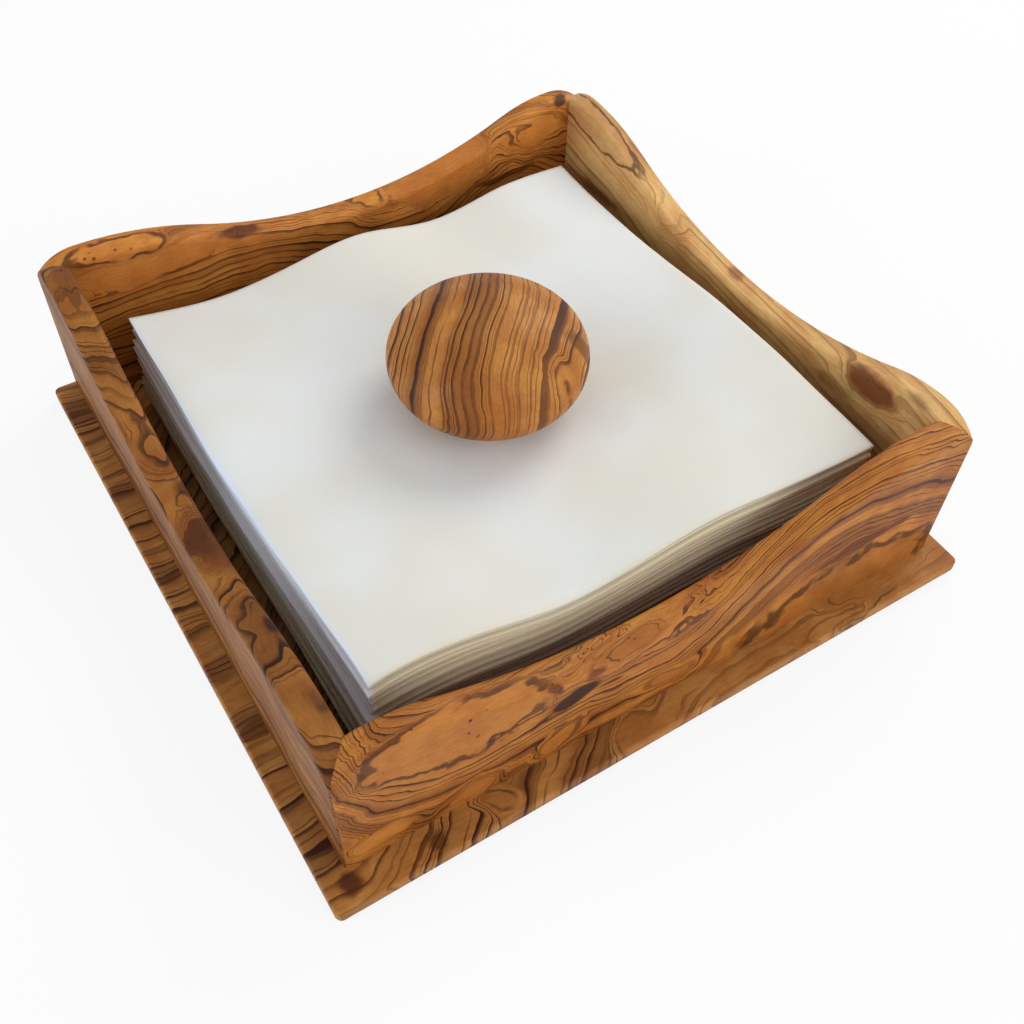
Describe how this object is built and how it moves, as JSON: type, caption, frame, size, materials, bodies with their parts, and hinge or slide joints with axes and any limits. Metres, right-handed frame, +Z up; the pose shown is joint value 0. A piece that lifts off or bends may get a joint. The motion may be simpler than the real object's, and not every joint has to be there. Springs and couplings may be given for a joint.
{
  "type": "napkin tray",
  "caption": "Square wooden tray with mitred wave-topped walls on a projecting base board, holding a stack of folded napkins under a loose pebble-shaped wooden weight.",
  "frame": {"origin": "centre of the base board's underside, where the tray stands on the table", "axes": "+Z up, +X along the front wall to the right, +Y towards the back wall"},
  "size_m": [0.216, 0.216, 0.0754],
  "materials": {
    "wall_wood": "oiled satin",
    "board_wood": "oiled satin",
    "spline_wood": "planed",
    "screw_steel": "satin",
    "napkin_paper": "soft embossed paper tissue",
    "top_napkin_paper": "soft embossed paper tissue",
    "weight_wood": "polished oil"
  },
  "bodies": {
    "tray": {"base_board": "board_wood", "front_wall": "wall_wood", "right_wall": "wall_wood", "back_wall": "wall_wood", "left_wall": "wall_wood", "spline_front_left": "spline_wood", "spline_front_right": "spline_wood", "spline_back_left": "spline_wood", "spline_back_right": "spline_wood", "screw_front_left": "screw_steel", "screw_front_right": "screw_steel", "screw_back_left": "screw_steel", "screw_back_right": "screw_steel", "screw_left_front": "screw_steel", "screw_left_back": "screw_steel", "screw_right_front": "screw_steel", "screw_right_back": "screw_steel"},
    "stack": {"napkin_stack": "napkin_paper"},
    "upper_napkin": {"top_napkin": "top_napkin_paper"},
    "pebble": {"weight": "weight_wood"}
  },
  "joints": [
    {"name": "stack_lift", "type": "slide", "parent": "tray", "child": "stack", "axis": [0, 0, 1], "range_m": [0, 0.07]},
    {"name": "top_napkin_lift", "type": "slide", "parent": "stack", "child": "upper_napkin", "axis": [0, 0, 1], "range_m": [0, 0.05]},
    {"name": "weight_lift", "type": "slide", "parent": "upper_napkin", "child": "pebble", "axis": [0, 0, 1], "range_m": [0, 0.06]}
  ]
}
